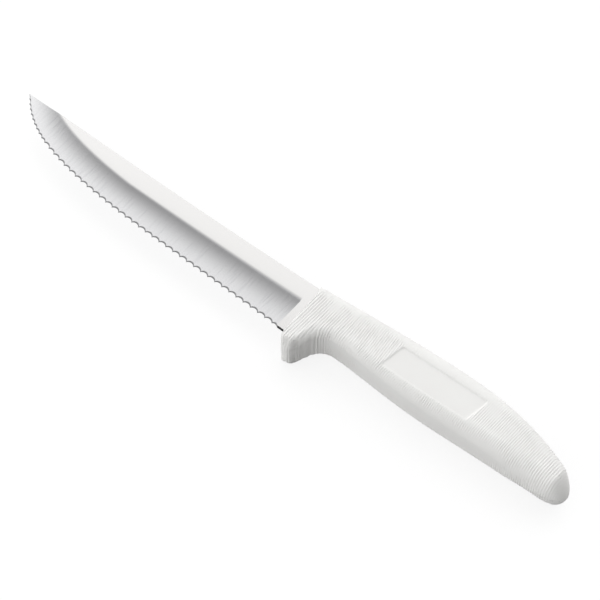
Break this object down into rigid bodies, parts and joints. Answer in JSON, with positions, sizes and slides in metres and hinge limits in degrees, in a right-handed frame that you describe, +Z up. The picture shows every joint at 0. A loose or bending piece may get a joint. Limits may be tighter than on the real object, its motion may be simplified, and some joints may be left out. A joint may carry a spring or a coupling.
{
  "type": "serrated utility knife",
  "caption": "Serrated utility knife with a hollow-ground scalloped steel blade and a white moulded grip with a finger guard, for slicing bread, fruit and sandwiches.",
  "frame": {"origin": "centre of the bounding box in plan, on the surface that the flat of the grip lies on", "axes": "+X from the tip towards the butt of the grip, +Y from the cutting edge towards the spine, +Z up through the thickness, out of the side with the panel"},
  "size_m": [0.2754, 0.0356, 0.0172],
  "materials": {
    "blade_steel": "fine satin, ground hollow below the flat band",
    "handle_plastic": "moulded with fine cross ribs, smooth in the panel"
  },
  "bodies": {
    "root": {"blade": "blade_steel", "handle": "handle_plastic"}
  },
  "joints": []
}
